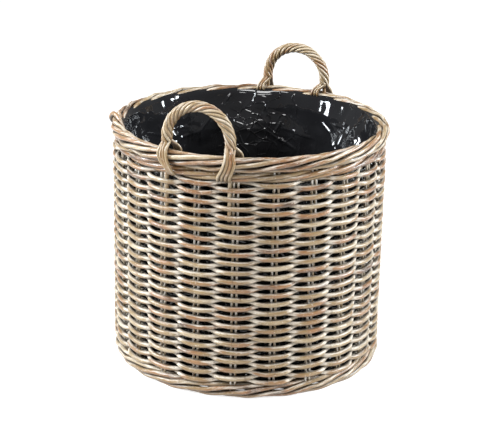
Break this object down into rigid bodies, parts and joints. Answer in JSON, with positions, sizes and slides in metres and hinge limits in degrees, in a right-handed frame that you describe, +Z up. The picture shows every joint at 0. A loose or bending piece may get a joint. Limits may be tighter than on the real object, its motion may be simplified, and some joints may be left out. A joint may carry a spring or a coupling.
{
  "type": "wicker log basket",
  "caption": "Tall round wicker basket for logs, woven over paired stakes, with a rolled rim, roped upright handles and a glossy black film liner.",
  "frame": {"origin": "on the floor, in the middle of the foot ring's underside", "axes": "+Z up out of the open top; the front handle stands at -Y and the back handle at +Y"},
  "size_m": [0.4999, 0.5036, 0.5276],
  "materials": {
    "weaving_cane": "whitewashed round cane",
    "border_cane": "whitewashed round cane",
    "stake_cane": "whitewashed round cane",
    "base_cane": "grey-brown round cane",
    "stick_wood": "peeled rod",
    "handle_cane": "whitewashed round cane",
    "handle_rod": "bent rod",
    "liner_film": "thin glossy crinkled film"
  },
  "bodies": {
    "root": {"foot_border": "border_cane", "siding_band_1": "weaving_cane", "siding_band_2": "weaving_cane", "siding_band_3": "weaving_cane", "siding_band_4": "weaving_cane", "siding_band_5": "weaving_cane", "siding_band_6": "weaving_cane", "siding_band_7": "weaving_cane", "siding_band_8": "weaving_cane", "siding_band_9": "weaving_cane", "upper_wale": "weaving_cane", "top_border": "border_cane", "stake_pair_01": "stake_cane", "stake_pair_02": "stake_cane", "stake_pair_03": "stake_cane", "stake_pair_04": "stake_cane", "stake_pair_05": "stake_cane", "stake_pair_06": "stake_cane", "stake_pair_07": "stake_cane", "stake_pair_08": "stake_cane", "stake_pair_09": "stake_cane", "stake_pair_10": "stake_cane", "stake_pair_11": "stake_cane", "stake_pair_12": "stake_cane", "stake_pair_13": "stake_cane", "stake_pair_14": "stake_cane", "stake_pair_15": "stake_cane", "stake_pair_16": "stake_cane", "stake_pair_17": "stake_cane", "stake_pair_18": "stake_cane", "stake_pair_19": "stake_cane", "stake_pair_20": "stake_cane", "stake_pair_21": "stake_cane", "stake_pair_22": "stake_cane", "base_through_sticks": "stick_wood", "base_slit_sticks": "stick_wood", "base_weave": "base_cane", "liner": "liner_film", "front_handle_core": "handle_rod", "back_handle_core": "handle_rod", "front_handle_roping": "handle_cane", "back_handle_roping": "handle_cane", "front_left_outer_lashing": "handle_cane", "front_left_inner_lashing": "handle_cane", "front_right_outer_lashing": "handle_cane", "front_right_inner_lashing": "handle_cane", "back_left_outer_lashing": "handle_cane", "back_left_inner_lashing": "handle_cane", "back_right_outer_lashing": "handle_cane", "back_right_inner_lashing": "handle_cane"}
  },
  "joints": []
}
